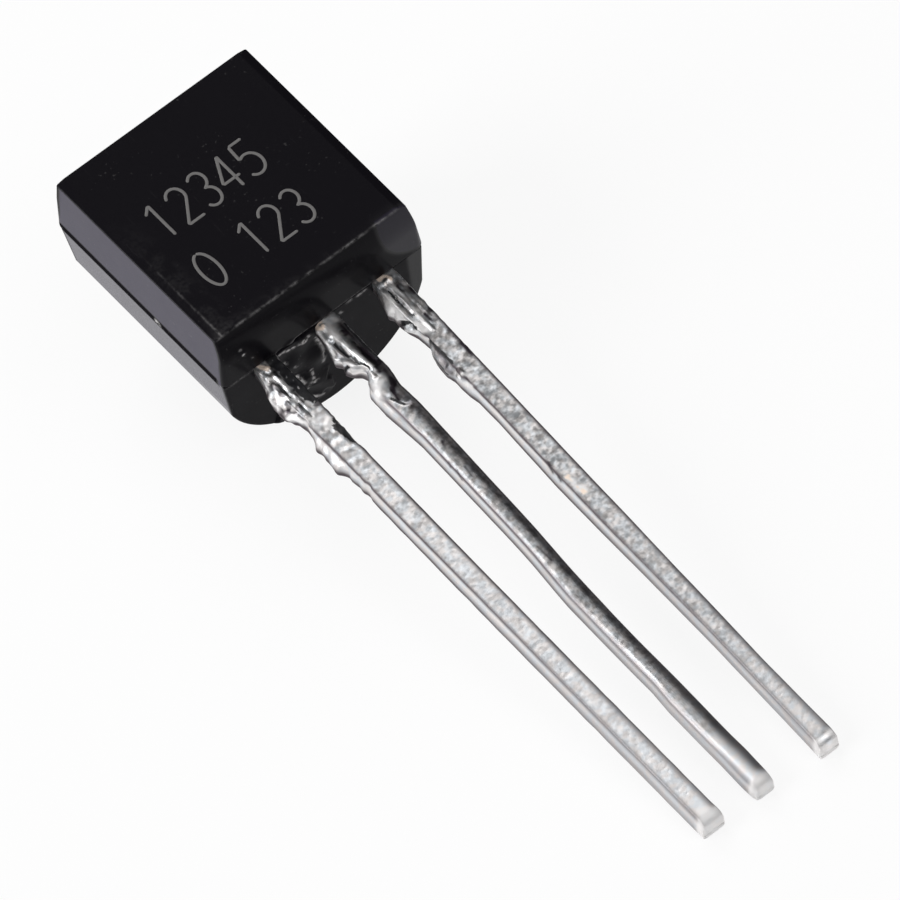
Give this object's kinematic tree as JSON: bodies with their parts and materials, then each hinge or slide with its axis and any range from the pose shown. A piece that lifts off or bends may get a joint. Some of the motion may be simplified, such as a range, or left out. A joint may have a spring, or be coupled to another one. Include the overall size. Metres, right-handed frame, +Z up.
{
  "type": "transistor",
  "caption": "Small-signal transistor: D-shaped black moulded body with a flat face and a rounded back, and straight tinned leads in a row, lying on its back and lead tips.",
  "frame": {"origin": "middle of the outline as seen from above, on the surface that the part lies on", "axes": "+Y from the lead tips towards the body, +Z up, out of the flat face to within ten degrees, +X along the row of leads from pin 1 to pin 3"},
  "size_m": [0.0044, 0.0172, 0.0044],
  "materials": {
    "moulded_epoxy": "satin black moulded epoxy with fine dust specks and hairline scratches",
    "tinned_lead": "dull bright tin plating on copper alloy, drawn lengthwise and mottled, warm copper tint at the roots",
    "soft_solder": "smooth grey solder",
    "silicon": "polished dark grey silicon with metal bond areas",
    "bond_wire": "bright drawn gold wire"
  },
  "bodies": {
    "root": {"moulded_body": "moulded_epoxy", "emitter_lead": "tinned_lead", "base_lead": "tinned_lead", "collector_lead": "tinned_lead", "chip_solder": "soft_solder", "chip": "silicon", "emitter_bond_wire": "bond_wire", "base_bond_wire": "bond_wire"}
  },
  "joints": []
}
